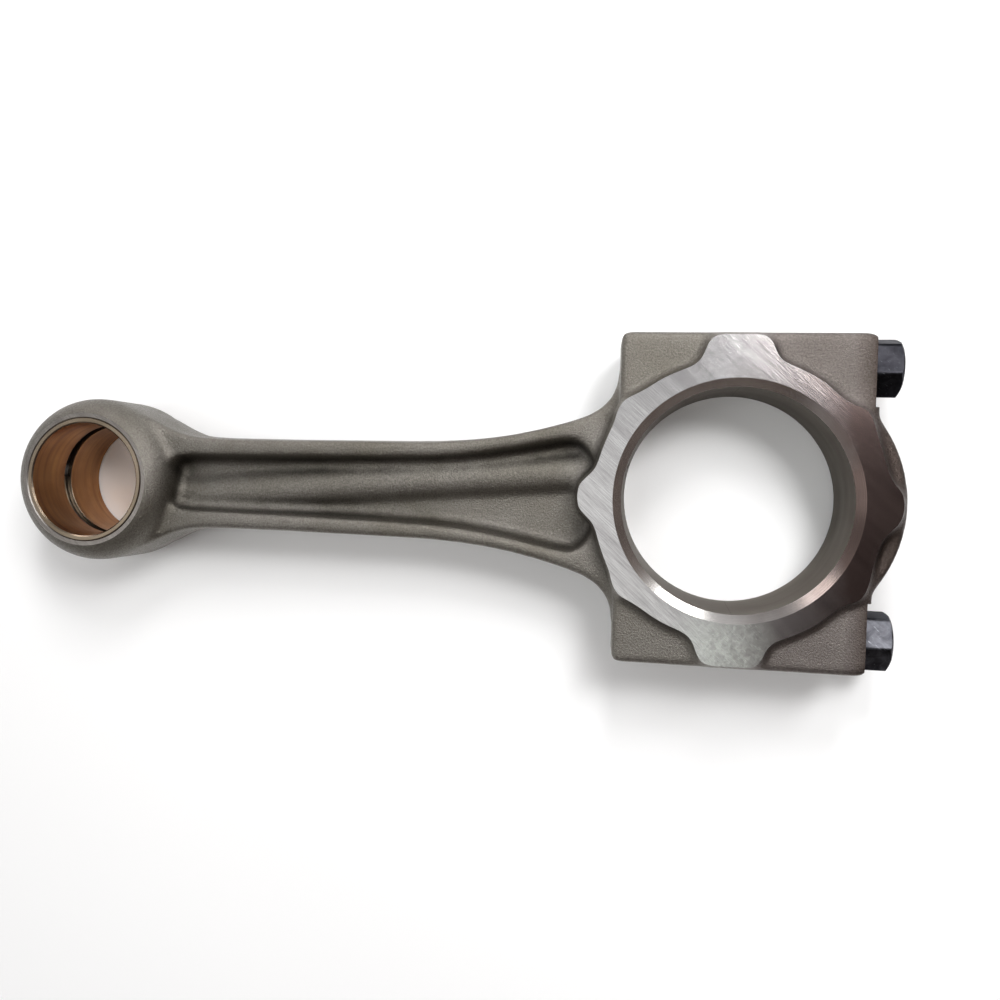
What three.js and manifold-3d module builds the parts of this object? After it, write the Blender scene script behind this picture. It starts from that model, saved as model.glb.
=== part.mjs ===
// Connecting rod with a separate bearing cap, for a small diesel engine.
//
// A drop-forged steel rod carries a round eye for the piston pin at one end and half of
// the crankpin bearing seat at the other.  The bearing cap closes the seat and is held by
// two fitted bolts.  Two bronze bushes are pressed into the eye, one from each face, and
// the space left between them is the oil ring that the drilled oil way feeds.
//
// Millimetres.  The rod lies flat: +X runs from the pin eye to the cap, both bores stand
// along Z, and z = 0 is the surface that the rear faces rest on.

import * as THREE from "three";
import { mergeVertices } from "three/addons/utils/BufferGeometryUtils.js";
import Module from "manifold-3d";

// ---------------------------------------------------------------- driving dimensions

const CENTRES = 180;              // pin bore axis to crankpin bore axis
const THICKNESS = 32;             // across the machined faces, the same at both ends

const PIN_BORE = 32;              // inside diameter of the bushes
const BUSH_WALL = 1.4;
const BUSH_CHAMFER = 0.8;
const OIL_RING = 3;               // width of the space between the two bushes
const EYE_WALL = 5.7;             // steel round the bushes, at mid thickness
const EYE_RIM = 0.6;              // flat machined rim left round each bush
const EYE_ROUNDING = 8;           // height of the rounded shoulder of the eye
const CROWN_HOLE = 4.5;           // oil hole through the crown of the eye
const CROWN_HOLE_ANGLE = 172;     // degrees, from +X

const CRANKPIN_BORE = 57.8;       // bearing seat, without bearing shells
const CRANKPIN_CHAMFER = 2.1;
const SEAT_RING = 7.6;            // width of the machined ring round the seat
const FACE_STEP = 2;              // forged faces lie this far below the machined ones

const SHOULDER = 30.3;            // joint plane to the rod's bolt shoulders
const CAP_HEIGHT = 32.6;          // joint plane to the cap's bolt seats
const CROWN_WALL = 13.3;          // steel of the cap beyond the seat, on the rod's axis
const CROWN_ARC = 36;             // radius of the cap's crown
const CORNER = 2;                 // rounded corners of the bolt block

const BOLT = 10;                  // thread and shank diameter
const BOLT_LENGTH = 58;           // under the head
const HEAD_FLATS = 14;            // across flats
const HEAD_HEIGHT = 7.7;
const HEAD_CHAMFER = 1.2;
const WASHER_FACE = 0.6;          // round collar under the hexagon
const THREAD_LENGTH = 22;
const THREAD_DEPTH = 0.35;        // the threaded end is drawn at its mean diameter
const BORE_TO_BOLT = 1.4;         // steel left between the seat and a bolt hole
const BOLT_TO_SIDE = 8;           // bolt axis to the side of the block
const HEAD_TURN = { upper: 13, lower: 22.8 };   // degrees from +Z to +Y, as tightened

const SHANK_WIDTH = 26.4;
const SHANK_THICKNESS = 19;
const RAIL = 4;                   // width of each rail of the I section
const WEB = 6;                    // thickness of the web between the rails
const NECK_START = 64.7;          // degrees round the eye where the neck leaves it
const NECK_END = 40;              // from the pin axis to where the shank is parallel
const FLARE_WIDTH = 42.6;         // shank width where its shoulder fillets begin
const POCKET_FLARE = 30.2;        // width of the web pocket beside the big end
const SHOULDER_FILLET = 9.7;

const OIL_TUBE = 11;              // round rib on the web that the oil way runs in
const OIL_WAY = 5;
const OIL_WAY_TILT = 3.8;         // degrees to the rod's axis
const OIL_WAY_OFFSET = -3.6;      // where its line passes the pin axis

const LUG_TOP_WIDTH = 14;         // machined lugs over the joint, at the block's sides
const LUG_ROOT_WIDTH = 19.5;
const LUG_INSET = 1.2;            // lug end to the block's side
const END_LUG_WIDTH = 9;          // lugs on the rod's axis
const END_LUG_REACH = 3.7;        // beyond the ring, on the rod
const CROWN_LUG_REACH = 3.9;      // beyond the ring, on the cap
const BUMP_ANGLE = 41;            // degrees from the rod's axis to the ring's shoulders
const BUMP_RADIUS = 3.4;
const BUMP_REACH = 1.5;

const GAP = 0.3;                  // clearance between pieces that touch

const BORE_STEPS = 64;            // facets of the bores
const HOLE_STEPS = 24;            // facets of bolts and drilled holes

// ---------------------------------------------------------------- derived sizes

const pinRadius = PIN_BORE / 2;
const bushRadius = pinRadius + BUSH_WALL;
const eyeBoreRadius = bushRadius + GAP;
const eyeRadius = eyeBoreRadius + EYE_WALL;
const rimRadius = eyeBoreRadius + EYE_RIM;
const half = THICKNESS / 2;
const forgedHalf = half - FACE_STEP;
const seatRadius = CRANKPIN_BORE / 2;
const ringRadius = seatRadius + SEAT_RING;
const boltHoleRadius = BOLT / 2 + GAP;
const boltOffset = seatRadius + BORE_TO_BOLT + boltHoleRadius;
const blockHalf = boltOffset + BOLT_TO_SIDE;
const crownReach = seatRadius + CROWN_WALL;
const shoulderX = CENTRES - SHOULDER;
const flareEndX = shoulderX - SHOULDER_FILLET;
const washerRadius = HEAD_FLATS / 2 - 0.2;
const overshoot = 1;              // how far cutters run past what they cut

// ---------------------------------------------------------------- solids and meshes

const wasm = await Module();
wasm.setup();

function solid(geometry) {
  geometry.deleteAttribute("normal");
  geometry.deleteAttribute("uv");
  const merged = mergeVertices(geometry, 1e-4);
  const index = merged.index.array;
  const triangles = [];
  for (let i = 0; i < index.length; i += 3) {
    const [a, b, c] = index.slice(i, i + 3);
    if (a !== b && b !== c && c !== a) triangles.push(a, b, c);
  }
  return new wasm.Manifold(new wasm.Mesh({
    numProp: 3,
    vertProperties: new Float32Array(merged.attributes.position.array),
    triVerts: new Uint32Array(triangles),
  }));
}

function mesh(name, body, material) {
  const { vertProperties, triVerts } = body.getMesh();
  const geometry = new THREE.BufferGeometry();
  geometry.setAttribute("position", new THREE.BufferAttribute(vertProperties, 3));
  geometry.setIndex(new THREE.BufferAttribute(triVerts, 1));
  geometry.computeVertexNormals();
  const piece = new THREE.Mesh(geometry, material);
  piece.name = name;
  return piece;
}

// A flat outline given thickness along Z, between -reach and +reach.
function plate(shape, reach, curveSegments = 12) {
  const geometry = new THREE.ExtrudeGeometry(shape, {
    depth: 2 * reach,
    bevelEnabled: false,
    curveSegments,
  });
  return solid(geometry.translate(0, 0, -reach));
}

function outline(points) {
  return new THREE.Shape(points.map(([x, y]) => new THREE.Vector2(x, y)));
}

function disc(radius, x = 0, y = 0) {
  return new THREE.Shape().absarc(x, y, radius, 0, 2 * Math.PI);
}

// A profile of [radius, height] points turned about Z, from the lowest point upwards.
function turned(profile, steps) {
  const points = profile.map(([radius, height]) => new THREE.Vector2(radius, height));
  const geometry = new THREE.LatheGeometry(points, steps);
  return solid(geometry.rotateX(Math.PI / 2));
}

// A round bar between two points, for drilled holes and the oil tube.
function bar(radius, from, to, steps = HOLE_STEPS) {
  const along = new THREE.Vector3().subVectors(to, from);
  const geometry = new THREE.CylinderGeometry(radius, radius, along.length(), steps);
  const turn = new THREE.Quaternion();
  turn.setFromUnitVectors(new THREE.Vector3(0, 1, 0), along.clone().normalize());
  geometry.applyQuaternion(turn);
  geometry.translate(...along.multiplyScalar(0.5).add(from).toArray());
  return solid(geometry);
}

function slab(x0, x1, y0, y1, z0, z1) {
  const geometry = new THREE.BoxGeometry(x1 - x0, y1 - y0, z1 - z0);
  return solid(geometry.translate((x0 + x1) / 2, (y0 + y1) / 2, (z0 + z1) / 2));
}

function polar(radius, degrees) {
  const angle = THREE.MathUtils.degToRad(degrees);
  return [radius * Math.cos(angle), radius * Math.sin(angle)];
}

// ---------------------------------------------------------------- pin eye

// The eye is a ring with a flat rim at each face and elliptical shoulders.
function pinEye() {
  const shoulderSteps = 6;
  const straight = half - EYE_ROUNDING;
  const profile = [[0, -half]];
  for (let i = shoulderSteps; i >= 0; i -= 1) {
    const angle = (Math.PI / 2) * (i / shoulderSteps);
    const radius = rimRadius + (eyeRadius - rimRadius) * Math.cos(angle);
    profile.push([radius, -straight - EYE_ROUNDING * Math.sin(angle)]);
  }
  const upper = profile.map(([radius, height]) => [radius, -height]).reverse();
  return turned([...profile, ...upper], BORE_STEPS);
}

function crownHole() {
  const [fromX, fromY] = polar(pinRadius, CROWN_HOLE_ANGLE);
  const [toX, toY] = polar(eyeRadius + overshoot, CROWN_HOLE_ANGLE);
  return bar(CROWN_HOLE / 2, new THREE.Vector3(fromX, fromY, 0), new THREE.Vector3(toX, toY, 0));
}

// ---------------------------------------------------------------- shank

// One long edge of the shank or its pocket: parallel, then flaring to the big end.
function flaringEdge(path, width, flareWidth, startX, endX, side) {
  const straight = side * width / 2;
  const length = endX - startX;
  path.lineTo(startX + 0.2 * length, straight);
  path.bezierCurveTo(
    startX + 0.55 * length, straight,
    startX + 0.82 * length, straight + side * 0.25 * (flareWidth - width) / 2,
    endX, side * flareWidth / 2,
  );
}

function shankEdge(side) {
  const path = new THREE.Path();
  const [startX, startY] = polar(eyeRadius, NECK_START);
  const slope = startX / startY;
  const cornerX = startX + (startY - SHANK_WIDTH / 2) / slope;
  path.moveTo(startX, side * startY);
  path.quadraticCurveTo(cornerX, side * SHANK_WIDTH / 2, NECK_END, side * SHANK_WIDTH / 2);
  flaringEdge(path, SHANK_WIDTH, FLARE_WIDTH, NECK_END, flareEndX, side);
  const filletStart = FLARE_WIDTH / 2;
  path.quadraticCurveTo(
    shoulderX, side * (filletStart + 0.4 * SHOULDER_FILLET),
    shoulderX, side * (filletStart + 1.1 * SHOULDER_FILLET),
  );
  return path.getPoints(8);
}

function shankBlank() {
  const upper = shankEdge(1);
  const lower = shankEdge(-1).reverse();
  const inside = [new THREE.Vector2(CENTRES, 0)];
  return plate(new THREE.Shape([...lower, new THREE.Vector2(0, 0), ...upper, ...inside]),
    SHANK_THICKNESS / 2);
}

// The pocket between the rails, from the eye's foot to the big end's wall.
function pocketEdge(side) {
  const width = SHANK_WIDTH - 2 * RAIL;
  const startX = eyeRadius + 1.2;
  const corner = 3;
  const path = new THREE.Path();
  path.moveTo(startX, side * (width / 2 - corner));
  path.quadraticCurveTo(startX, side * width / 2, startX + corner, side * width / 2);
  flaringEdge(path, width, POCKET_FLARE, NECK_END, shoulderX - 15, side);
  path.quadraticCurveTo(shoulderX - 8, side * POCKET_FLARE / 2, shoulderX - 6, side * width / 2);
  return path.getPoints(6);
}

function pockets() {
  const shape = new THREE.Shape([...pocketEdge(-1), ...pocketEdge(1).reverse()]);
  const cut = plate(shape, SHANK_THICKNESS / 2 + overshoot);
  return cut.subtract(slab(0, CENTRES, -blockHalf, blockHalf, -WEB / 2, WEB / 2));
}

function oilLine(x) {
  const y = OIL_WAY_OFFSET + x * Math.tan(THREE.MathUtils.degToRad(OIL_WAY_TILT));
  return new THREE.Vector3(x, y, 0);
}

// ---------------------------------------------------------------- big end

// The rod and its cap are forged and machined as one big end and then parted, so both
// halves come from these shapes.  They are drawn about the crankpin bore's axis.

function blockShape() {
  const shape = new THREE.Shape();
  const left = -SHOULDER;
  const right = CAP_HEIGHT;
  const quarter = Math.PI / 2;
  shape.absarc(left + CORNER, -blockHalf + CORNER, CORNER, 2 * quarter, 3 * quarter);
  shape.absarc(right - CORNER, -blockHalf + CORNER, CORNER, 3 * quarter, 4 * quarter);
  shape.absarc(right - CORNER, blockHalf - CORNER, CORNER, 0, quarter);
  shape.absarc(left + CORNER, blockHalf - CORNER, CORNER, quarter, 2 * quarter);
  return shape;
}

function crownShape() {
  return disc(CROWN_ARC, crownReach - CROWN_ARC);
}

// Each joint lug carries the machined face out over the joint to the block's side.
function jointLug(side) {
  const end = side * (blockHalf - LUG_INSET);
  const root = side * ringRadius * 0.85;
  const corners = [
    [-LUG_ROOT_WIDTH / 2, root],
    [-LUG_TOP_WIDTH / 2 - 0.6, end - side * 1.5],
    [-LUG_TOP_WIDTH / 2 + 0.9, end],
    [LUG_TOP_WIDTH / 2 - 0.9, end],
    [LUG_TOP_WIDTH / 2 + 0.6, end - side * 1.5],
    [LUG_ROOT_WIDTH / 2, root],
  ];
  return outline(side > 0 ? corners.reverse() : corners);
}

function endLug(reach, direction) {
  const tip = direction * (ringRadius + reach - END_LUG_WIDTH / 2);
  return disc(END_LUG_WIDTH / 2, tip);
}

function bump(degrees) {
  return disc(BUMP_RADIUS, ...polar(ringRadius + BUMP_REACH - BUMP_RADIUS, degrees));
}

function machinedFace() {
  const shapes = [
    jointLug(1),
    jointLug(-1),
    endLug(END_LUG_REACH, -1),
    endLug(CROWN_LUG_REACH, 1),
    ...[BUMP_ANGLE, -BUMP_ANGLE, 180 - BUMP_ANGLE, BUMP_ANGLE - 180].map(bump),
  ];
  const ring = plate(disc(ringRadius), half, BORE_STEPS);
  return shapes.reduce((face, shape) => face.add(plate(shape, half, HOLE_STEPS)), ring);
}

function seatCutter() {
  const past = half + overshoot;
  const mouth = seatRadius + CRANKPIN_CHAMFER + overshoot;
  return turned([
    [0, -past],
    [mouth, -past],
    [seatRadius, -half + CRANKPIN_CHAMFER],
    [seatRadius, half - CRANKPIN_CHAMFER],
    [mouth, past],
    [0, past],
  ], BORE_STEPS);
}

function bigEnd() {
  const shape = plate(blockShape(), forgedHalf, 4)
    .add(plate(crownShape(), forgedHalf, BORE_STEPS))
    .add(machinedFace())
    .subtract(seatCutter());
  const past = SHOULDER + CAP_HEIGHT;
  return [boltOffset, -boltOffset].reduce((body, y) => body.subtract(
    bar(boltHoleRadius, new THREE.Vector3(-past, y, 0), new THREE.Vector3(past, y, 0)),
  ), shape);
}

// What lies on one side of the joint plane, less half the joint's clearance.
function halfOfBigEnd(direction) {
  const far = CENTRES;
  const near = GAP / 2;
  const [from, to] = direction > 0 ? [near, far] : [-far, -near];
  return bigEnd().intersect(slab(from, to, -far, far, -far, far));
}

// ---------------------------------------------------------------- the rod's pieces

function rodBody() {
  const tube = bar(OIL_TUBE / 2, oilLine(eyeRadius), oilLine(shoulderX));
  const seat = seatCutter().translate([CENTRES, 0, 0]);
  const beyondShoulder = slab(shoulderX, 2 * CENTRES, -CENTRES, CENTRES, -CENTRES, CENTRES);
  const shank = shankBlank()
    .subtract(pockets())
    .add(tube)
    .subtract(beyondShoulder);
  const eyeBore = plate(disc(eyeBoreRadius), half + overshoot, BORE_STEPS);
  return shank
    .add(halfOfBigEnd(-1).translate([CENTRES, 0, 0]))
    .add(pinEye())
    .subtract(seat)
    .subtract(eyeBore)
    .subtract(crownHole())
    .subtract(bar(OIL_WAY / 2, oilLine(0), oilLine(CENTRES)));
}

function bearingCap() {
  return halfOfBigEnd(1);
}

// One bush, from the oil ring at height 0 up to the eye's face.
function pinBush() {
  const height = half - OIL_RING / 2;
  return turned([
    [pinRadius + BUSH_CHAMFER, 0],
    [bushRadius, 0],
    [bushRadius, height],
    [pinRadius + BUSH_CHAMFER, height],
    [pinRadius, height - BUSH_CHAMFER],
    [pinRadius, BUSH_CHAMFER],
    [pinRadius + BUSH_CHAMFER, 0],
  ], BORE_STEPS);
}

// A fitted cap bolt along Z, with the underside of its head at z = 0.
function capBolt() {
  const shankRadius = BOLT / 2;
  const threadRadius = shankRadius - THREAD_DEPTH;
  const threadStart = -BOLT_LENGTH + THREAD_LENGTH;
  const shank = turned([
    [0, -BOLT_LENGTH],
    [threadRadius - 1, -BOLT_LENGTH],
    [threadRadius, -BOLT_LENGTH + 1],
    [threadRadius, threadStart],
    [shankRadius, threadStart + THREAD_DEPTH],
    [shankRadius, 0],
    [washerRadius, 0],
    [washerRadius, WASHER_FACE + overshoot],
    [0, WASHER_FACE + overshoot],
  ], HOLE_STEPS);
  const top = WASHER_FACE + HEAD_HEIGHT;
  const corners = HEAD_FLATS / Math.sqrt(3);
  const hexagon = new THREE.CylinderGeometry(corners, corners, HEAD_HEIGHT, 6);
  hexagon.rotateX(Math.PI / 2);
  hexagon.translate(0, 0, WASHER_FACE + HEAD_HEIGHT / 2);
  const envelope = turned([
    [0, WASHER_FACE],
    [corners, WASHER_FACE],
    [corners, top - HEAD_CHAMFER],
    [HEAD_FLATS / 2 - 0.8, top],
    [0, top],
  ], HOLE_STEPS);
  return solid(hexagon).intersect(envelope).add(shank);
}

// ---------------------------------------------------------------- materials

function metal(color, roughness, metalness) {
  return new THREE.MeshStandardMaterial({ color, roughness, metalness, flatShading: true });
}

const forgedSteel = metal(0x75706c, 0.55, 0.85);
const bronze = metal(0x9a6a3c, 0.35, 0.9);
const blackenedSteel = metal(0x2a2c33, 0.4, 0.8);

// ---------------------------------------------------------------- assembly

const rod = new THREE.Group();
rod.add(mesh("rod_body", rodBody(), forgedSteel));

const bushes = [["pin_bush_front", 0], ["pin_bush_rear", Math.PI]];
for (const [name, turn] of bushes) {
  const bush = mesh(name, pinBush(), bronze);
  bush.rotation.x = turn;
  bush.position.z = Math.cos(turn) * OIL_RING / 2;
  rod.add(bush);
}

const cap = new THREE.Group();
cap.position.x = CENTRES;
cap.add(mesh("bearing_cap", bearingCap(), forgedSteel));
rod.add(cap);

const bolts = [
  ["cap_bolt_upper", boltOffset, HEAD_TURN.upper],
  ["cap_bolt_lower", -boltOffset, HEAD_TURN.lower],
];
for (const [name, y, degrees] of bolts) {
  const bolt = mesh(name, capBolt(), blackenedSteel);
  bolt.rotation.set(-THREE.MathUtils.degToRad(degrees), Math.PI / 2, 0);
  bolt.position.set(CAP_HEIGHT + GAP, y, 0);
  cap.add(bolt);
}

// The origin is under the middle of the rod's length, on the surface that it lies on.
const rodEnd = -eyeRadius;
const capEnd = CENTRES + Math.max(crownReach, CAP_HEIGHT + GAP + WASHER_FACE + HEAD_HEIGHT);
rod.position.set(-(rodEnd + capEnd) / 2, 0, half);

const connectingRod = new THREE.Group();
connectingRod.add(rod);

export default connectingRod;
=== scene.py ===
"""Connecting rod: a drop-forged rod and its bearing cap, two bronze bushes and two cap bolts."""
import math

import bpy
from mathutils import Matrix, Vector


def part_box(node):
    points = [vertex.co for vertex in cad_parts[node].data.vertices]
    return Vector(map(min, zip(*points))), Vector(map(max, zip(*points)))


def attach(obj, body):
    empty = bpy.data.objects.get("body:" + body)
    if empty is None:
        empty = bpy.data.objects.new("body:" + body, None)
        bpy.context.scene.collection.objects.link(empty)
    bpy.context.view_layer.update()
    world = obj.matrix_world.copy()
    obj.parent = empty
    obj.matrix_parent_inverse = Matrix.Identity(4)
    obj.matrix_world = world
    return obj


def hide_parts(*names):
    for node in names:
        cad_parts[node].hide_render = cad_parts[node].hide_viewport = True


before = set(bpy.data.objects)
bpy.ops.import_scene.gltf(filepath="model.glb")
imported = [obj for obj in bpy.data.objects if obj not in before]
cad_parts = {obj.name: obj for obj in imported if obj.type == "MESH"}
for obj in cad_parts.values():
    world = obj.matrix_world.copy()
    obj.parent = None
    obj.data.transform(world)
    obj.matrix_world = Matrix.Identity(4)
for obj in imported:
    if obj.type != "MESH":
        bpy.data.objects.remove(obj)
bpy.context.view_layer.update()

MM = 0.001

# ---------------------------------------------------------------- the forging
# Rod and cap are drop-forged together from one bar of steel between two dies that part
# at mid thickness, so every wall leans a few degrees and every inside corner is filleted.
# The scale is blasted off with steel shot, which leaves a satin, finely pitted skin.

bush_low, bush_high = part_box("pin_bush_front")
rod_low, rod_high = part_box("rod_body")
cap_low, cap_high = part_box("bearing_cap")

pin_x = (bush_low.x + bush_high.x) / 2
joint_x = (rod_high.x + cap_low.x) / 2
top_z = rod_high.z
middle_z = top_z / 2
half = middle_z / MM                          # half thickness, in millimetres
centres = (joint_x - pin_x) / MM              # pin axis to crankpin axis
eye_radius = (pin_x - rod_low.x) / MM
block_half = rod_high.y / MM
crown_x = (cap_high.x - pin_x) / MM
rail_half = 9.5                               # half thickness of the shank's rails
web_half = 3.0
shoulder_x = centres - 30.9
seat_x = centres + 32.6                       # where the bolt heads bear on the cap
forged_half = half - 2.0                      # the skin lies 2 mm below the ground faces
stock = 1.2                                   # left on the pads for grinding


def at(x, y, z=0.0):
    """A point in the row frame from millimetres along the rod, across it and above its middle."""
    return Vector((pin_x + x * MM, y * MM, middle_z + z * MM))


def pick(piece):
    """Makes a piece the only one selected, and active."""
    bpy.ops.object.select_all(action="DESELECT")
    piece.select_set(True)
    bpy.context.view_layer.objects.active = piece
    return piece


def finish_modifiers(piece):
    """Applies all of a piece's modifiers to its mesh."""
    pick(piece)
    for modifier in list(piece.modifiers):
        bpy.ops.object.modifier_apply(modifier=modifier.name)
    return piece


def clean(piece):
    """Merges doubles and turns every face outwards."""
    pick(piece)
    bpy.ops.object.mode_set(mode="EDIT")
    bpy.ops.mesh.select_all(action="SELECT")
    bpy.ops.mesh.remove_doubles(threshold=0.002 * MM)
    bpy.ops.mesh.normals_make_consistent(inside=False)
    bpy.ops.object.mode_set(mode="OBJECT")
    return piece


def new_piece(name, points, edges, faces):
    """A piece from points in the row frame."""
    mesh = bpy.data.meshes.new(name)
    mesh.from_pydata(points, edges, faces)
    piece = bpy.data.objects.new(name, mesh)
    bpy.context.collection.objects.link(piece)
    return piece


def moved_in(outline, distance):
    """A closed anticlockwise outline, moved inwards by a distance square to itself."""
    moved = []
    count = len(outline)
    for i, (x, y) in enumerate(outline):
        before, after = outline[i - 1], outline[(i + 1) % count]
        along = Vector((after[0] - before[0], after[1] - before[1])).normalized()
        moved.append((x - along.y * distance, y + along.x * distance))
    return moved


def die_shape(name, outline, levels):
    """A solid between flat ends: the outline drawn in by each level's inset at its height."""
    points = []
    for height, inset in levels:
        points += [at(x, y, height) for x, y in moved_in(outline, inset)]
    count = len(outline)
    faces = [tuple(range(count))[::-1]]
    for level in range(len(levels) - 1):
        low = level * count
        for i in range(count):
            j = (i + 1) % count
            faces.append((low + i, low + j, low + count + j, low + count + i))
    top = (len(levels) - 1) * count
    faces.append(tuple(range(top, top + count)))
    return clean(new_piece(name, points, [], faces))


def both_sides(height, lean):
    """Levels of a shape that two dies make: widest at the middle, leaning in towards both faces."""
    inset = height * math.tan(math.radians(lean))
    return [(-height, inset), (0.0, 0.0), (height, inset)]


def turned(name, profile, centre, axis, steps):
    """A profile of [radius, height] points spun about an axis through a centre."""
    along = Vector(axis)
    out = along.orthogonal().normalized()
    points = [centre + out * radius * MM + along * height * MM for radius, height in profile]
    edges = [(i, i + 1) for i in range(len(points) - 1)]
    piece = pick(new_piece(name, points, edges, []))
    bpy.ops.object.mode_set(mode="EDIT")
    bpy.ops.mesh.select_all(action="SELECT")
    bpy.ops.mesh.spin(steps=steps, angle=2 * math.pi, center=centre, axis=axis)
    bpy.ops.object.mode_set(mode="OBJECT")
    return clean(piece)


def cut(piece, *cutters, operation="DIFFERENCE"):
    """Cuts or joins solids with booleans, and deletes the cutters."""
    for cutter in cutters:
        boolean = piece.modifiers.new("boolean", "BOOLEAN")
        boolean.operation = operation
        boolean.solver = "MANIFOLD"
        boolean.material_mode = "TRANSFER"
        boolean.object = cutter
        finish_modifiers(piece)
        bpy.data.objects.remove(cutter, do_unlink=True)
    return piece


def arc(x, y, radius, start, end, steps):
    """Points along an arc, from a start angle to an end angle in degrees."""
    points = []
    for i in range(steps + 1):
        angle = math.radians(start + (end - start) * i / steps)
        points.append((x + radius * math.cos(angle), y + radius * math.sin(angle)))
    return points


# The shank: its half width at stations along the rod, from the eye's flank to the shoulders.
shank_edge = [(0.0, 19.0), (11.0, 20.9), (16.9, 18.4), (20.8, 16.4), (24.6, 14.85),
              (28.4, 13.9), (32.2, 13.45), (38.0, 13.25), (58.0, 13.3), (75.0, 13.5),
              (90.0, 13.7), (100.0, 13.95), (108.0, 14.5), (115.0, 15.3), (121.7, 16.4),
              (128.4, 17.9), (135.0, 19.7), (138.5, 20.8), (141.7, 22.0), (144.9, 24.0),
              (147.2, 26.6), (148.6, 30.0), (shoulder_x, 33.0), (centres - 10.0, 33.0)]
shank_outline = [(x, -y) for x, y in shank_edge] + shank_edge[::-1]
forging = die_shape("forging", shank_outline, both_sides(rail_half, 4.0))

# The pockets between its rails, with their walls leaning out towards the dies.
pocket_edge = [(20.0, 4.6), (22.1, 6.5), (25.7, 7.8), (30.0, 8.15), (44.0, 8.4), (58.0, 8.6),
               (85.0, 9.1), (100.0, 9.6), (107.0, 10.2), (114.0, 11.1), (121.0, 12.3),
               (128.0, 13.7), (134.0, 14.9), (137.2, 15.3), (139.6, 14.8), (141.6, 13.2),
               (143.4, 10.4), (147.0, 4.0)]
pocket_outline = [(x, -y) for x, y in pocket_edge] + pocket_edge[::-1]
wall_lean = math.tan(math.radians(10.0))
above_rail = 2.0                              # how far the pocket's cutter stands over the rails
pocket_depth = rail_half + above_rail - web_half
for side in (1, -1):
    pocket_floor = (side * web_half, pocket_depth * wall_lean)
    pocket_mouth = (side * (rail_half + above_rail), -above_rail * wall_lean)
    levels = [pocket_floor, pocket_mouth] if side > 0 else [pocket_mouth, pocket_floor]
    cut(forging, die_shape("pocket", pocket_outline, levels))

# The round rib along the web that the oil way is drilled through, a little askew.
rib_radius = 5.85
rib_start, rib_end = at(18.0, -4.0), at(centres - 34.0, 6.7)
rib_along = rib_end - rib_start
bpy.ops.mesh.primitive_cylinder_add(
    vertices=48, radius=rib_radius * MM, depth=rib_along.length,
    location=(rib_start + rib_end) / 2,
    rotation=rib_along.to_track_quat("Z", "Y").to_euler(),
)
rib = bpy.context.object
bpy.ops.object.transform_apply()

# The eye: a ring with heavy round shoulders.
eye_straight = 8.0
eye_shoulder = (7.8, 8.85)                    # how far in and how far up its quarter ellipse goes
eye_profile = [(0.0, -eye_straight - eye_shoulder[1])]
for i in range(13):
    turn = math.pi / 2 * (1 - i / 12)
    radius = eye_radius - eye_shoulder[0] * (1 - math.cos(turn))
    eye_profile.append((radius, -eye_straight - eye_shoulder[1] * math.sin(turn)))
eye_profile += [(radius, -height) for radius, height in reversed(eye_profile)]
eye = turned("eye", eye_profile, at(0, 0), (0, 0, 1), 96)

# The big end: a block for the bolts, the cap's crown, and pads for the ground faces.
corner = 2.6
end_corner = 4.0
end_stock = 2.0                               # what the milling of the bolt seats takes off
end_x = seat_x + end_stock
block_outline = arc(shoulder_x + corner, -block_half + corner, corner, 180, 270, 5)
block_outline += arc(end_x - end_corner, -block_half + end_corner, end_corner, 270, 360, 6)
block_outline += arc(end_x - end_corner, block_half - end_corner, end_corner, 0, 90, 6)
block_outline += arc(shoulder_x + corner, block_half - corner, corner, 90, 180, 5)
block = die_shape("block", block_outline, both_sides(forged_half, 3.5))

crown_radius = 36.0
drawn_in = 0.07                               # how far the softening of the skin draws it in
crown_middle = crown_x + drawn_in - crown_radius
crown_half = forged_half - 0.6
crown_outline = arc(crown_middle, 0, crown_radius, -60, 60, 32)
crown_outline = [(centres, crown_outline[0][1])] + crown_outline + [(centres, crown_outline[-1][1])]
crown = die_shape("crown", crown_outline, both_sides(crown_half, 4.0))

# Hollows that the dies press into both faces of the crown, one on each side of its lug: the
# angle round the crown's middle, the distance from it, half the length, and the depth.
hollow_half_width = 2.3
crown_hollows = [(-25.4, 31.2, 7.6, 1.9), (21.0, 31.4, 9.0, 1.0)]
for angle, reach, half_length, depth in crown_hollows:
    heading = math.radians(angle)
    hollow_x = crown_middle + reach * math.cos(heading)
    hollow_y = reach * math.sin(heading)
    for side in (1, -1):
        bpy.ops.mesh.primitive_uv_sphere_add(
            segments=32, ring_count=16, radius=MM,
            location=at(hollow_x, hollow_y, side * crown_half),
            rotation=(0, 0, heading), scale=(hollow_half_width, half_length, depth),
        )
        hollow = bpy.context.object
        bpy.ops.object.transform_apply()
        cut(crown, hollow)

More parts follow.
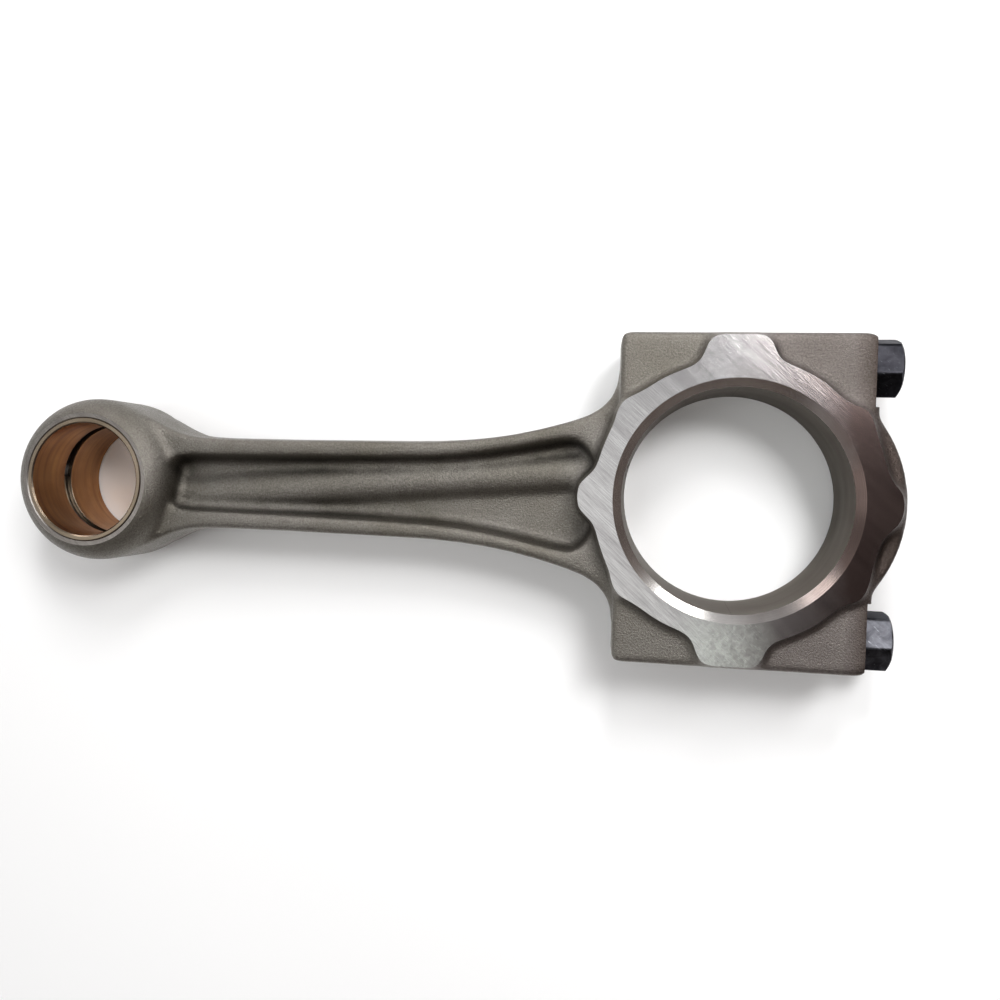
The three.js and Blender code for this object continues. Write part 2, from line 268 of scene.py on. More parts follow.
# The pad that is ground: round the bore, out to the block's edges at the joint, with a lug
# on the shank and a smaller one on the crown.
pad_edge = [(140.3, 3.0), (142.2, 5.0), (144.0, 6.7), (144.9, 8.6), (145.4, 10.4), (146.3, 13.2),
            (147.5, 16.2), (148.8, 19.2), (149.4, 21.8), (150.4, 24.0), (151.7, 25.3),
            (153.4, 26.1), (155.2, 27.0), (157.6, 28.5), (160.0, 30.1), (162.6, 31.5),
            (165.2, 32.6), (167.7, 33.6), (169.4, 34.7), (170.4, 36.1), (171.1, 38.0),
            (171.9, 40.0), (172.9, 41.2), (174.6, 41.8), (184.6, 41.8), (186.2, 41.2),
            (187.2, 40.0), (187.9, 38.4), (188.5, 36.9), (189.5, 35.5), (191.0, 34.6),
            (193.2, 33.7), (195.4, 32.7), (197.7, 31.5), (200.0, 30.1), (202.0, 28.4),
            (203.9, 26.7), (205.6, 25.4), (207.4, 24.5), (209.2, 23.9), (210.6, 23.0),
            (211.6, 21.4), (212.2, 19.5)]
crown_lug = [(212.6, -17.6), (213.0, -15.0), (213.7, -12.0), (214.6, -9.2), (215.6, -7.3),
             (217.0, -6.0), (218.6, -4.4), (219.5, -2.4), (219.8, 0.0), (219.6, 2.2), (218.8, 3.8),
             (217.6, 5.0), (216.4, 6.9), (215.5, 9.5), (214.5, 12.6), (213.3, 16.2)]
pad_outline = [(139.8, 0.0)] + [(x, -y) for x, y in pad_edge] + crown_lug + pad_edge[::-1]
pad_levels = [(-half - stock, 0.3), (-forged_half + 1.0, -0.8), (forged_half - 1.0, -0.8),
              (half + stock, 0.3)]
pad = die_shape("pad", pad_outline, pad_levels)

# Everything is melted into one skin, then softened as the die's fillets leave it.
pick(forging)
for part in (rib, eye, block, crown, pad):
    part.select_set(True)
bpy.ops.object.join()
skin = 0.64 * MM                              # the skin's mesh width
fillet = 1.2 * MM


def remesh(piece):
    """Melts whatever overlaps in a piece into one closed skin."""
    melt = piece.modifiers.new("melt", "REMESH")
    melt.mode = "VOXEL"
    melt.voxel_size = skin
    melt.use_smooth_shade = True
    return finish_modifiers(piece)


def swell(piece, distance):
    """Moves a skin outwards; out and back again leaves fillets in its inside corners."""
    push = piece.modifiers.new("push", "DISPLACE")
    push.mid_level = 0.0
    push.strength = distance
    return finish_modifiers(piece)


def soften(piece, repeats):
    """Rounds a skin's edges a little more with every repeat."""
    smooth = piece.modifiers.new("soften", "SMOOTH")
    smooth.factor = 0.5
    smooth.iterations = repeats
    return finish_modifiers(piece)


for distance in (fillet, -fillet):
    remesh(forging)
    soften(forging, 2)
    swell(forging, distance)
remesh(forging)
soften(forging, 4)

# ---------------------------------------------------------------- machining the big end
# The thrust faces are ground flat and parallel, the crankpin seat is bored and chamfered,
# and the two seats for the bolts' heads are milled.  Each cut leaves its own finish.

seat_radius = 28.9
seat_chamfer = 2.1


def node(material, kind, links=None, **properties):
    """Adds a shader node, sets its properties, and links what feeds it."""
    made = material.node_tree.nodes.new(kind)
    for key, value in properties.items():
        setattr(made, key, value)
    for socket, source in (links or {}).items():
        material.node_tree.links.new(source, made.inputs[socket])
    return made


def metal(name, roughness, metallic=1.0):
    """A new metal, with its shader and its object coordinates."""
    material = bpy.data.materials.new(name)
    material.use_nodes = True
    shader = material.node_tree.nodes["Principled BSDF"]
    shader.inputs["Roughness"].default_value = roughness
    shader.inputs["Metallic"].default_value = metallic
    place = node(material, "ShaderNodeTexCoord").outputs["Object"]
    return material, shader, place


def ramp(material, factor, stops):
    """A colour ramp between two stops of (position, colour)."""
    made = node(material, "ShaderNodeValToRGB", {"Fac": factor})
    for element, (position, colour) in zip(made.color_ramp.elements, stops):
        element.position = position
        element.color = (*colour, 1.0)
    return made.outputs["Color"]


def noise(material, place, scale, detail, roughness=0.5, distortion=0.0):
    """Noise from 0 to 1; the scale is in lumps to the metre."""
    made = node(material, "ShaderNodeTexNoise", {"Vector": place})
    made.inputs["Scale"].default_value = scale
    made.inputs["Detail"].default_value = detail
    made.inputs["Roughness"].default_value = roughness
    made.inputs["Distortion"].default_value = distortion
    return made.outputs["Fac"]


def mapping(material, place, location=(0, 0, 0), rotation=(0, 0, 0), scale=(1, 1, 1)):
    """Coordinates stretched, then turned by degrees, then moved."""
    made = node(material, "ShaderNodeMapping", {"Vector": place})
    made.inputs["Location"].default_value = location
    made.inputs["Rotation"].default_value = [math.radians(angle) for angle in rotation]
    made.inputs["Scale"].default_value = scale
    return made.outputs["Vector"]


def spread(material, value, low, high, to_low, to_high):
    """A value's range from low to high, laid over another range."""
    made = node(material, "ShaderNodeMapRange", {"Value": value})
    made.inputs["From Min"].default_value = low
    made.inputs["From Max"].default_value = high
    made.inputs["To Min"].default_value = to_low
    made.inputs["To Max"].default_value = to_high
    return made.outputs["Result"]


def tint(material, base, by, factor, blend="MULTIPLY"):
    """One colour laid over another by a factor."""
    made = node(material, "ShaderNodeMix", data_type="RGBA", blend_type=blend)
    for socket, source in (("A", base), ("B", by)):
        target = next(i for i in made.inputs if i.name == socket and i.type == "RGBA")
        if isinstance(source, tuple):
            target.default_value = (*source, 1.0)
        else:
            material.node_tree.links.new(source, target)
    chosen = next(i for i in made.inputs if i.name == "Factor" and i.type == "VALUE")
    if isinstance(factor, float):
        chosen.default_value = factor
    else:
        material.node_tree.links.new(factor, chosen)
    return next(o for o in made.outputs if o.type == "RGBA")


def bump(material, height, depth, strength, under=None):
    """A normal from a height; the depth is in metres, and a coarser bump may lie under it."""
    made = node(material, "ShaderNodeBump", {"Height": height})
    made.inputs["Strength"].default_value = strength
    made.inputs["Distance"].default_value = depth
    if under is not None:
        material.node_tree.links.new(under, made.inputs["Normal"])
    return made.outputs["Normal"]


def connect(material, shader, **sources):
    """Links sources to the shader's inputs of the same names."""
    for socket, source in sources.items():
        material.node_tree.links.new(source, shader.inputs[socket.replace("_", " ")])


def slanted(material, place, angle, scale):
    """Coordinates turned about Z, then stretched, for marks that all run one way."""
    return mapping(material, mapping(material, place, rotation=(0, 0, angle)), scale=scale)


def faded(material, along, start, end, to_start, to_end):
    """A value that fades along the rod, between two places in millimetres from the pin."""
    return spread(material, along, at(start, 0).x, at(end, 0).x, to_start, to_end)


def along_rod(material, place):
    return node(material, "ShaderNodeSeparateXYZ", {"Vector": place}).outputs["X"]


def forged_steel(name, light, dark, darkened_from):
    """Shot-blasted forging: sandy, with painted shade in its creases, and darker past a place along
    the rod.
    """
    material, shader, place = metal(name, 0.5)
    bloom = noise(material, place, 42.0, 3.0, 0.5, 0.4)
    grain = noise(material, place, 2000.0, 4.0, 0.7)
    pits = noise(material, place, 4200.0, 2.0, 0.6)
    # Painted shade: the colour is darkened where the skin is occluded, in its creases and hollows.
    crease_occlusion = node(material, "ShaderNodeAmbientOcclusion", only_local=True, samples=8)
    crease_occlusion.inputs["Distance"].default_value = 0.006
    skin_colour = ramp(material, bloom, [(0.32, dark), (0.68, light)])
    speckle = ramp(material, grain, [(0.34, (0.60, 0.59, 0.58)), (0.66, (1.0, 1.0, 1.0))])
    painted_crease_shade = ramp(material, crease_occlusion.outputs["AO"],
                 [(0.46, (0.07, 0.065, 0.06)), (0.86, (1.0, 1.0, 1.0))])
    colour = tint(material, tint(material, skin_colour, speckle, 0.9), painted_crease_shade, 0.95)
    along = along_rod(material, place)
    # Darker and browner past a place along the rod.
    darkened = faded(material, along, darkened_from, darkened_from + 6, 0.0, 1.0)
    colour = tint(material, colour, (0.42, 0.37, 0.35), darkened)
    rough = spread(material, grain, 0.3, 0.7, 0.52, 0.33)
    swell_normal = bump(material, bloom, 0.0006, 0.5)
    grain_normal = bump(material, grain, 0.00024, 1.0, swell_normal)
    normal = bump(material, pits, 0.00007, 0.8, grain_normal)
    connect(material, shader, Base_Color=colour, Roughness=rough, Normal=normal)
    return material


def painted_cap_side_shade(material, place, colour):
    """Painted shade: darkens and browns a machined face from the joint towards the crown, as a
    painted dark reflection.
    """
    cloud = noise(material, place, 55.0, 4.0, 0.6, 0.3)
    along = along_rod(material, place)
    wander = spread(material, cloud, 0, 1, -0.012, 0.012)
    edge = node(material, "ShaderNodeMath", {0: along, 1: wander}, operation="ADD")
    darkened = faded(material, edge.outputs["Value"], centres - 8, crown_dark_x, 0.0, 1.0)
    return tint(material, colour, (0.24, 0.18, 0.165), darkened)


def ground_steel(name):
    """Thrust faces under the wheel's slanting marks, with a rubbed, rougher spot on one lug that is
    painted pale as a highlight.
    """
    material, shader, place = metal(name, 0.3)
    marks = noise(material, slanted(material, place, 42, (170, 3600, 1)), 1.0, 3.0, 0.65)
    stray = noise(material, slanted(material, place, -38, (60, 1500, 1)), 1.0, 2.0, 0.5, 0.8)
    bands = noise(material, slanted(material, place, 42, (30, 260, 1)), 1.0, 2.0, 0.5)
    base = ramp(material, bands, [(0.3, (0.29, 0.277, 0.28)), (0.7, (0.41, 0.40, 0.40))])
    lined = ramp(material, marks, [(0.32, (0.66, 0.66, 0.66)), (0.6, (1.0, 1.0, 1.0))])
    # Painted shade: the ground faces turn dark brown towards the cap.
    colour = painted_cap_side_shade(material, place, tint(material, base, lined, 0.75))
    eye_side = faded(material, along_rod(material, place), 30, 60, 1.0, 0.0)
    colour = tint(material, colour, (0.52, 0.485, 0.45), eye_side)

    # A rubbed, rougher spot on the lower lug; its pale greenish colour is a painted highlight.
    patch_place = mapping(material, place, location=-at(centres - 2, -38.5), scale=(1, 1, 0))
    reach = node(material, "ShaderNodeVectorMath", {0: patch_place}, operation="LENGTH")
    near = spread(material, reach.outputs["Value"], 0.006, 0.022, 1.0, 0.0)
    mottle = spread(material, noise(material, place, 600.0, 5.0, 0.75, 0.8), 0.3, 0.65, 0.2, 1.0)
    rubbed_spot_with_painted_highlight = node(material, "ShaderNodeMath", {0: near, 1: mottle}, operation="MULTIPLY")
    colour = tint(material, colour, (0.90, 0.97, 0.89), rubbed_spot_with_painted_highlight.outputs["Value"], "MIX")

    gloss = spread(material, marks, 0.3, 0.7, 0.25, 0.16)
    rubbed = spread(material, rubbed_spot_with_painted_highlight.outputs["Value"], 0.0, 1.0, 0.0, 0.24)
    rough = node(material, "ShaderNodeMath", {0: gloss, 1: rubbed}, operation="ADD")
    under = bump(material, stray, 0.00001, 0.4)
    normal = bump(material, marks, 0.00002, 0.7, under)
    connect(material, shader, Base_Color=colour, Roughness=rough.outputs["Value"], Normal=normal)
    return material


def bored_steel(name, light, dark):
    """A bore's wall, with fine rings left by the boring bar."""
    material, shader, place = metal(name, 0.36)
    shader.inputs["Specular Tint"].default_value = (0.35, 0.33, 0.31, 1.0)
    rings = noise(material, mapping(material, place, scale=(4, 4, 2600)), 1.0, 3.0, 0.6)
    cloud = noise(material, mapping(material, place, scale=(30, 30, 120)), 1.0, 3.0, 0.55)
    base = ramp(material, cloud, [(0.3, dark), (0.7, light)])
    lined = ramp(material, rings, [(0.3, (0.78, 0.78, 0.78)), (0.7, (1.0, 1.0, 1.0))])
    normal = bump(material, rings, 0.00002, 0.8)
    connect(material, shader, Base_Color=tint(material, base, lined, 0.8), Normal=normal)
    return material


def turned_steel(name, axis_point, light, dark, roughness=0.24):
    """A lathe-cut chamfer, with rings round an upright axis."""
    material, shader, place = metal(name, roughness)
    centred = mapping(material, place, location=(-axis_point.x, -axis_point.y, 0), scale=(1, 1, 0))
    reach = node(material, "ShaderNodeVectorMath", {0: centred}, operation="LENGTH")
    rings = node(material, "ShaderNodeTexNoise", {"W": reach.outputs["Value"]},
                 noise_dimensions="1D")
    rings.inputs["Scale"].default_value = 5200.0
    cloud = noise(material, place, 60.0, 2.0)
    base = ramp(material, cloud, [(0.3, dark), (0.7, light)])
    lined = ramp(material, rings.outputs["Fac"], [(0.3, (0.8, 0.8, 0.8)), (0.7, (1.0, 1.0, 1.0))])
    normal = bump(material, rings.outputs["Fac"], 0.000015, 0.7)
    # Painted shade: the chamfer turns dark brown towards the cap.
    colour = painted_cap_side_shade(material, place, tint(material, base, lined, 0.7))
    connect(material, shader, Base_Color=colour, Normal=normal)
    return material


def finished(piece, material):
    """Gives a whole piece one finish; a cutter passes its own to the faces that it cuts."""
    piece.data.materials.clear()
    piece.data.materials.append(material)
    return piece


def slab(low, high, material):
    """A box between two corners in the row frame, to cut with."""
    bpy.ops.mesh.primitive_cube_add(size=1.0, location=(low + high) / 2, scale=high - low)
    bpy.ops.object.transform_apply()
    return finished(bpy.context.object, material)


crown_dark_x = centres + 27                    # past this the cap's skin is darker, and the painted shade on its machined faces is full
never_darkened = 2 * centres
rod_skin = forged_steel("forged_rod_skin", (0.228, 0.214, 0.194), (0.165, 0.153, 0.130),
                        never_darkened)
cap_skin = forged_steel("forged_cap_skin", (0.235, 0.21, 0.198), (0.17, 0.151, 0.139),
                        crown_dark_x)
ground = ground_steel("ground_face")
bored = bored_steel("bored_seat", (0.32, 0.305, 0.285), (0.19, 0.175, 0.165))
chamfered = turned_steel("turned_chamfer", at(centres, 0), (0.84, 0.82, 0.79), (0.58, 0.56, 0.54))
milled = bored_steel("milled_seat", (0.38, 0.37, 0.36), (0.27, 0.26, 0.25))

finished(forging, rod_skin)
beyond = 60.0                                 # cutters reach out this far on every side
far = centres + beyond
cut(forging,
    slab(at(-beyond, -beyond, half), at(far, beyond, beyond), ground),
    slab(at(-beyond, -beyond, -beyond), at(far, beyond, -half), ground))

through = half + 3.0                          # boring cutters stand out at both faces
lift = 1.0                                    # and the chamfers' cones a little less
mouth = seat_radius + seat_chamfer
seat_steps = 180
wall_height = half - seat_chamfer
seat_wall = turned("seat", [(0, -through), (seat_radius, -through), (seat_radius, through),
                            (0, through)], at(centres, 0), (0, 0, 1), seat_steps)
cut(forging, finished(seat_wall, bored))
for side in (1, -1):
    cone = turned("chamfer", [(0, side * wall_height), (seat_radius, side * wall_height),
                              (mouth + lift, side * (half + lift)), (0, side * (half + lift))],
                  at(centres, 0), (0, 0, 1), seat_steps)
    cut(forging, finished(cone, chamfered))

milled_from = 24.4                            # the milling stops short of the crown
for side in (1, -1):
    low_y, high_y = sorted((side * milled_from, side * beyond))
    cut(forging, slab(at(seat_x, low_y, -beyond), at(far, high_y, beyond), milled))

# ---------------------------------------------------------------- rod body
# The rod's half of the forging, parted from the cap at the joint.  Its eye is bored for the
# bushes, an oil way is drilled along the web from the crankpin seat, and the shoulders are
# tapped for the cap bolts.

bolt_low, bolt_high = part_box("cap_bolt_upper")
bolt_y = (bolt_low.y + bolt_high.y) / 2 / MM
bolt_radius = 5.0
pitch = 1.25
thread_depth = 0.65
hole_play = 0.15                              # between a bolt's shank and its hole, all round


def drill(start, end, radius, material, steps=32):
    """A round cutter between two points in the row frame."""
    along = end - start
    bpy.ops.mesh.primitive_cylinder_add(
        vertices=steps, radius=radius * MM, depth=along.length, location=(start + end) / 2,
        rotation=along.to_track_quat("Z", "Y").to_euler(),
    )
    bpy.ops.object.transform_apply()
    return finished(bpy.context.object, material)


def thread(name, start, length, radius, taper):
    """A screw thread along +X from a start point, fading out over the taper at both ends."""
    steps = 40
    rows_per_turn = 8
    rows = round(length / pitch * rows_per_turn)
    bpy.ops.mesh.primitive_cylinder_add(vertices=steps, radius=radius * MM, depth=length * MM)
    piece = bpy.context.object
    piece.name = name
    bpy.ops.object.mode_set(mode="EDIT")
    bpy.ops.mesh.select_mode(type="EDGE")
    bpy.ops.mesh.select_all(action="DESELECT")
    bpy.ops.object.mode_set(mode="OBJECT")
    for edge in piece.data.edges:
        low, high = (piece.data.vertices[v].co.z for v in edge.vertices)
        edge.select = abs(low - high) > 0.5 * length * MM
    bpy.ops.object.mode_set(mode="EDIT")
    bpy.ops.mesh.subdivide_edgering(number_cuts=rows - 1, interpolation="LINEAR")
    bpy.ops.object.mode_set(mode="OBJECT")
    for vertex in piece.data.vertices:
        height = vertex.co.z / MM + length / 2
        turn = math.atan2(vertex.co.y, vertex.co.x) / (2 * math.pi)
        phase = (height / pitch - turn) % 1.0
        groove = 1 - abs(2 * phase - 1)
        fade = min(1.0, height / taper, (length - height) / taper)
        ridge = radius - thread_depth + thread_depth * min(1.0, 1.25 * groove) * max(fade, 0.0)
        vertex.co.x *= ridge / radius
        vertex.co.y *= ridge / radius
    piece.data.transform(Matrix.Rotation(math.pi / 2, 4, "Y"))
    piece.data.transform(Matrix.Translation(start + Vector((length / 2 * MM, 0, 0))))
    return clean(piece)


def half_of_forging(name, waste_from, waste_to):
    """A copy of the machined forging, less what lies between two places along the rod."""
    piece = forging.copy()
    piece.data = forging.data.copy()
    piece.name = name
    bpy.context.collection.objects.link(piece)
    waste = slab(at(waste_from, -beyond, -beyond), at(waste_to, beyond, beyond), ground)
    return cut(piece, waste)


def shade(piece):
    """Smooth shading that breaks at sharp corners and wherever the finish changes."""
    mesh = piece.data
    finish_of = {}
    for face in mesh.polygons:
        for key in face.edge_keys:
            finish_of.setdefault(key, set()).add(face.material_index)
    pick(piece)
    bpy.ops.object.shade_smooth_by_angle(angle=math.radians(32), keep_sharp_edges=False)
    for edge in mesh.edges:
        if len(finish_of.get(edge.key, ())) > 1:
            edge.use_edge_sharp = True
    return piece


joint_gap = 0.02                              # half the fine line that shows at the joint
eye_bore = 17.46
eye_steps = 128
eye_lead = 0.25                               # how deep the chamfer at the eye's bore goes
rod_body = half_of_forging("rod_body_forged", centres - joint_gap, far)
bore_wall = turned("eye_bore", [(0, -through), (eye_bore, -through), (eye_bore, through),
                                (0, through)], at(0, 0), (0, 0, 1), eye_steps)
cut(rod_body, finished(bore_wall, bored))
for side in (1, -1):
    lead = turned("lead", [(0, side * (half - eye_lead)), (eye_bore, side * (half - eye_lead)),
                           (eye_bore + eye_lead + lift, side * (half + lift)),
                           (0, side * (half + lift))],
                  at(0, 0), (0, 0, 1), eye_steps)
    cut(rod_body, finished(lead, bored))

oil_slope = (rib_end.y - rib_start.y) / (rib_end.x - rib_start.x)
oil_exit = 4.0 * MM                           # how far past the rib the drill goes, into the eye
oil_from = Vector((rib_start.x - oil_exit, rib_start.y - oil_exit * oil_slope, middle_z))
oil_to = Vector((joint_x, rib_end.y + (joint_x - rib_end.x) * oil_slope, middle_z))
oil_way_radius = 2.5
cut(rod_body, drill(oil_from, oil_to, oil_way_radius, bored))

eye_hole_radius = 2.25                        # the second oil hole, through the crown of the eye
eye_hole_turn = math.radians(172)
hole_out = at(26 * math.cos(eye_hole_turn), 26 * math.sin(eye_hole_turn))
hole_in = at(14 * math.cos(eye_hole_turn), 14 * math.sin(eye_hole_turn))
cut(rod_body, drill(hole_in, hole_out, eye_hole_radius, bored))

tap_from = shoulder_x - 4.0
tap_to = centres - 1.5
opened = 5.0                                  # the tapped holes are opened out at the joint
for side in (1, -1):
    tapped = thread("tapped", at(tap_from, side * bolt_y), tap_to - tap_from,
                    bolt_radius + 0.06, 1.5)
    cut(rod_body, finished(tapped, milled))
    cut(rod_body, drill(at(centres - opened, side * bolt_y), at(centres + opened, side * bolt_y),
                        bolt_radius + hole_play, milled, 48))

shade(rod_body)
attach(rod_body, "rod")
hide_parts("rod_body")

# ---------------------------------------------------------------- bushes
# Two bronze bushes, pressed in from the two faces and bored in line.  The space between
# them is the oil ring that feeds the piston pin.

def bored_bronze(name):
    """Finely bored bronze, browner in some rings and stained in places."""
    material, shader, place = metal(name, 0.34)
    wide = noise(material, mapping(material, place, scale=(18, 18, 420)), 1.0, 3.0, 0.6)
    fine = noise(material, mapping(material, place, scale=(5, 5, 3200)), 1.0, 3.0, 0.6)
    stain = noise(material, place, 70.0, 4.0, 0.6, 0.5)
    base = ramp(material, wide, [(0.3, (0.29, 0.145, 0.075)), (0.7, (0.52, 0.28, 0.115))])
    dull = ramp(material, stain, [(0.35, (0.72, 0.66, 0.62)), (0.65, (1.0, 1.0, 1.0))])
    colour = tint(material, base, dull, 0.6)
    rough = spread(material, stain, 0.3, 0.7, 0.42, 0.28)
    normal = bump(material, fine, 0.00002, 0.8)
    connect(material, shader, Base_Color=colour, Roughness=rough, Normal=normal)
    return material


bronze = bored_bronze("bored_bronze")
bronze_edge = turned_steel("turned_bronze_edge", at(0, 0), (0.25, 0.20, 0.15),
                           (0.16, 0.125, 0.09), 0.26)
pin_radius = 16.0
bush_radius = 17.4
bush_chamfer = 0.35
outer_chamfer = 0.18
ring_chamfer = 0.15
ring_half = 1.5                               # half the oil ring's width

for name, side in (("front", 1), ("rear", -1)):
    low, high = ring_half, half
    profile = [(pin_radius, low + ring_chamfer), (pin_radius, high - bush_chamfer),
               (pin_radius + bush_chamfer, high), (bush_radius - outer_chamfer, high),
               (bush_radius, high - outer_chamfer), (bush_radius, low + 0.3),
               (bush_radius - 0.3, low), (pin_radius + ring_chamfer, low),
               (pin_radius, low + ring_chamfer)]
    bush = turned(f"pin_bush_{name}_bored", [(r, side * h) for r, h in profile],
                  at(0, 0), (0, 0, 1), eye_steps)
    finished(bush, bronze)
    bush.data.materials.append(bronze_edge)
    for face in bush.data.polygons:
        face.material_index = 1 if abs(face.normal.z) > 0.3 else 0
    shade(bush)
    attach(bush, "rod")
    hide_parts(f"pin_bush_{name}")

# ---------------------------------------------------------------- bearing cap
# The cap's half of the forging, drilled right through for the shanks of its two bolts.

bearing_cap = half_of_forging("bearing_cap_forged", -beyond, centres + joint_gap)
for side in (1, -1):
    cut(bearing_cap, drill(at(centres - opened, side * bolt_y), at(far, side * bolt_y),
                           bolt_radius + hole_play, milled, 48))
bearing_cap.data.materials[0] = cap_skin
bpy.data.objects.remove(forging, do_unlink=True)
shade(bearing_cap)
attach(bearing_cap, "cap")
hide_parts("bearing_cap")

# ---------------------------------------------------------------- cap bolts
# Bolts of black-oxide steel, with tall hexagon heads on a round washer face.  The plain
# shank locates the cap, and a relieved neck leads to the thread in the rod's shoulder.

def blackened_steel(name, dark, light):
    """Black oxide over machined steel, rubbed and scratched by the spanner."""
    material, shader, place = metal(name, 0.3, 0.9)
    shader.inputs["Specular Tint"].default_value = (0.5, 0.5, 0.52, 1.0)
    cloud = noise(material, place, 260.0, 4.0, 0.65, 0.6)
    turned_place = mapping(material, place, rotation=(20, 35, 50))
    scratch = noise(material, mapping(material, turned_place, scale=(300, 3600, 900)),
                    1.0, 2.0, 0.5, 0.3)
    base = ramp(material, cloud, [(0.35, dark), (0.75, light)])
    rubbed = ramp(material, scratch, [(0.66, (0.0, 0.0, 0.0)), (0.78, (1.0, 1.0, 1.0))])
    colour = tint(material, base, (0.15, 0.153, 0.165), rubbed, "MIX")
    rough = spread(material, cloud, 0.3, 0.7, 0.26, 0.42)
    normal = bump(material, cloud, 0.00005, 0.6)
    connect(material, shader, Base_Color=colour, Roughness=rough, Normal=normal)
    return material


black = blackened_steel("black_oxide", (0.008, 0.008, 0.010), (0.024, 0.024, 0.028))
worn = blackened_steel("worn_oxide", (0.018, 0.018, 0.021), (0.075, 0.076, 0.085))
flats = 14.0
corner_radius = flats / math.sqrt(3)
collar = 0.6                                  # the washer face under the hexagon
washer_radius = 6.8
head_top = (bolt_high.x - pin_x) / MM - seat_x - 0.1
bolt_length = 58.0
plain_length = 34.0
neck_radius = 4.3
thread_length = 23.5
head_turn = {"upper": 13.0, "lower": 22.8}    # in degrees
head_gap = 0.05                               # the washer face stands just off its seat
bolt_steps = 96

for name, side, finish in (("upper", 1, black), ("lower", -1, worn)):
    under_head = at(seat_x + head_gap, side * bolt_y)
    along = (1, 0, 0)
    bpy.ops.mesh.primitive_cylinder_add(
        vertices=6, radius=corner_radius * MM, depth=(head_top - collar) * MM,
        location=under_head + Vector(((head_top + collar) / 2 * MM, 0, 0)),
        rotation=(0, math.pi / 2, 0),
    )
    bolt = bpy.context.object
    bolt.name = f"cap_bolt_{name}_threaded"
    bpy.ops.object.transform_apply()
    turn = math.radians(-head_turn[name])
    about = Matrix.Translation(under_head)
    bolt.data.transform(about @ Matrix.Rotation(turn, 4, "X") @ about.inverted())
    bevel = bolt.modifiers.new("worn corners", "BEVEL")
    bevel.width = 0.7 * MM
    bevel.segments = 4
    finish_modifiers(bolt)
    dome = [(0, 0), (corner_radius + 0.3, 0), (corner_radius + 0.3, head_top - 1.4),
            (7.6, head_top - 0.85), (6.9, head_top - 0.4), (6.3, head_top - 0.1), (5.8, head_top),
            (0, head_top)]
    cut(bolt, turned("dome", dome, under_head, along, bolt_steps), operation="INTERSECT")
    shank = [(0, collar + 0.5), (washer_radius, collar + 0.5), (washer_radius, 0.1),
             (washer_radius - 0.1, 0.0), (5.6, 0.0), (bolt_radius, -0.5),
             (bolt_radius, -plain_length), (neck_radius, -plain_length - 1.2),
             (neck_radius, -bolt_length), (0, -bolt_length)]
    cut(bolt, turned("shank", shank, under_head, along, bolt_steps), operation="UNION")
    screw = thread("screw", under_head - Vector((bolt_length * MM, 0, 0)), thread_length,
                   bolt_radius - 0.04, 1.6)
    cut(bolt, screw, operation="UNION")
    finished(bolt, finish)
    shade(bolt)
    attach(bolt, f"bolt_{name}")
    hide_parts(f"cap_bolt_{name}")

# ---------------------------------------------------------------- studio
# A pale matt floor in a room that darkens towards the cap.  Three small soft boxes stand high
# on the +Y side, two wide ones low behind them, one beyond the eye, and a panel overhead.

floor_colour = bpy.data.materials.new("pale_floor")
floor_colour.use_nodes = True
floor_shader = floor_colour.node_tree.nodes["Principled BSDF"]
floor_shader.inputs["Base Color"].default_value = (0.93, 0.93, 0.93, 1.0)
floor_shader.inputs["Roughness"].default_value = 0.9
floor_shader.inputs["Specular IOR Level"].default_value = 0.1
bpy.ops.mesh.primitive_plane_add(size=8.0, location=(0, 0, -0.0002))
floor = finished(bpy.context.object, floor_colour)
floor.name = "floor"


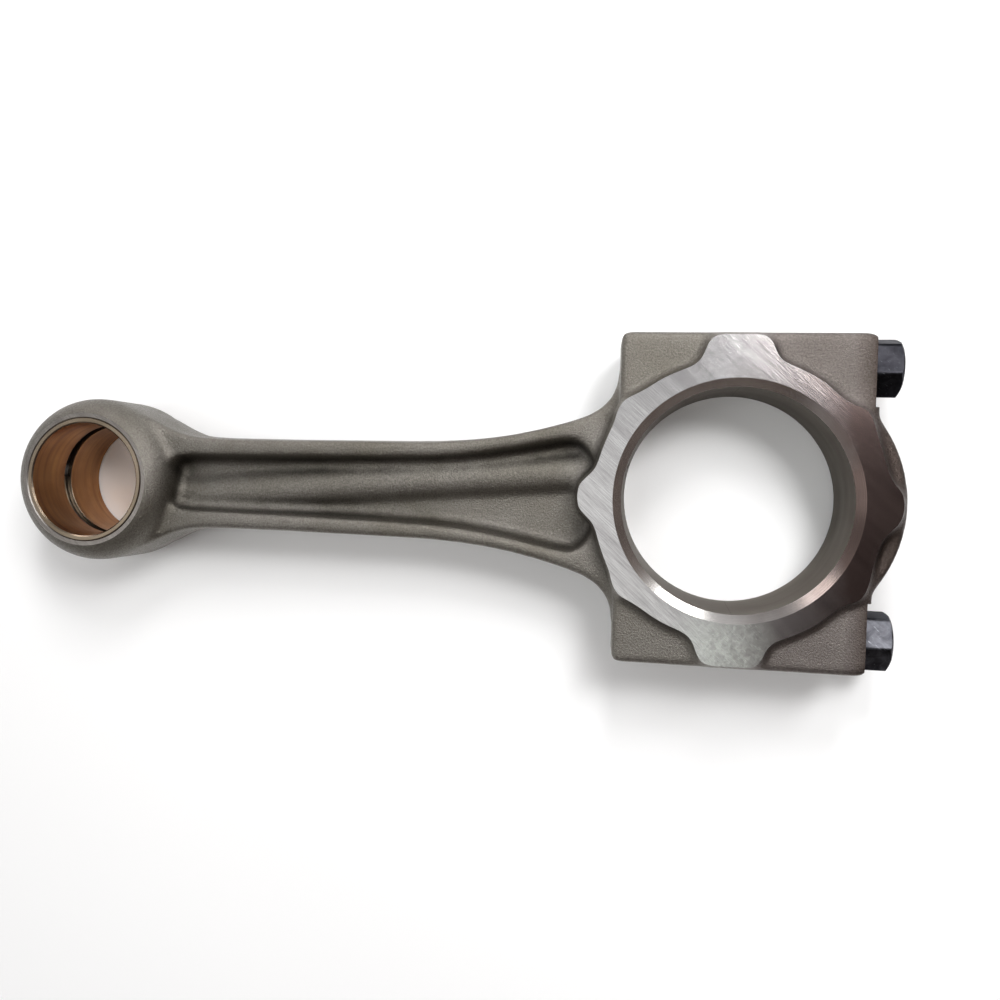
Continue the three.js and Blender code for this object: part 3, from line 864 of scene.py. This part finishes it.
def soft_box(name, azimuth, elevation, distance, size, radiance, colour=(1, 1, 1)):
    """A soft box that faces the rod, seen from it at an azimuth and an elevation in degrees."""
    level = distance * math.cos(math.radians(elevation))
    place = Vector((level * math.cos(math.radians(azimuth)),
                    level * math.sin(math.radians(azimuth)),
                    distance * math.sin(math.radians(elevation))))
    data = bpy.data.lights.new(name, "AREA")
    data.shape = "RECTANGLE"
    data.size, data.size_y = size
    data.energy = radiance * math.pi * size[0] * size[1]
    data.color = colour
    lamp = bpy.data.objects.new(name, data)
    bpy.context.collection.objects.link(lamp)
    lamp.location = place
    lamp.rotation_euler = (-place).to_track_quat("-Z", "Y").to_euler()
    lamp.visible_camera = False
    return lamp


soft_box("key", 45, 56, 0.65, (0.14, 0.26), 16.0)
soft_box("cap_light", 34, 58, 0.436, (0.08, 0.08), 16.0)
soft_box("eye_light", 76, 47, 0.57, (0.09, 0.16), 24.0)
soft_box("window_right", 55, 6, 1.3, (0.45, 0.30), 8.0)
soft_box("window_left", 128, 8, 1.3, (0.45, 0.35), 5.0, (1.0, 0.94, 0.93))
soft_box("eye_side", 190, 28, 1.2, (0.5, 0.5), 1.2)
overhead = soft_box("overhead", 0, 90, 0.95, (0.92, 0.52), 1.3, (0.97, 1.0, 0.97))
overhead.rotation_euler = (0, 0, 0)
overhead.location = (-0.32, -0.16, 0.95)      # it hangs level, beyond the eye

world = bpy.data.worlds.new("room")
world.use_nodes = True
facing = node(world, "ShaderNodeTexCoord").outputs["Generated"]
darker_way = node(world, "ShaderNodeVectorMath", {0: facing}, operation="DOT_PRODUCT")
darker_way.inputs[1].default_value = (0.8, -0.6, 0.0)
walls = ramp(world, darker_way.outputs["Value"],
             [(0.0, (0.56, 0.56, 0.57)), (0.30, (0.13, 0.10, 0.09))])
seen = node(world, "ShaderNodeLightPath").outputs["Is Camera Ray"]
backdrop = tint(world, walls, (0.82, 0.82, 0.83), seen, "MIX")
world.node_tree.links.new(backdrop, world.node_tree.nodes["Background"].inputs["Color"])
bpy.context.scene.world = world
bpy.context.scene.view_settings.view_transform = "Standard"

camera_right = Vector((0.9861, 0.0308, -0.1634))
camera_up = Vector((-0.0347, 0.9992, -0.0211))
camera_back = Vector((0.1626, 0.0265, 0.9863))
camera_data = bpy.data.cameras.new("camera")
camera_data.lens = 32.4
camera_data.sensor_width = 36.0
camera_data.clip_start = 0.01
camera = bpy.data.objects.new("camera", camera_data)
bpy.context.collection.objects.link(camera)
camera_place = at(158.1, 4.5, 248.3)
turned_to = Matrix((camera_right, camera_up, camera_back)).transposed().to_4x4()
camera.matrix_world = Matrix.Translation(camera_place) @ turned_to
bpy.context.scene.camera = camera
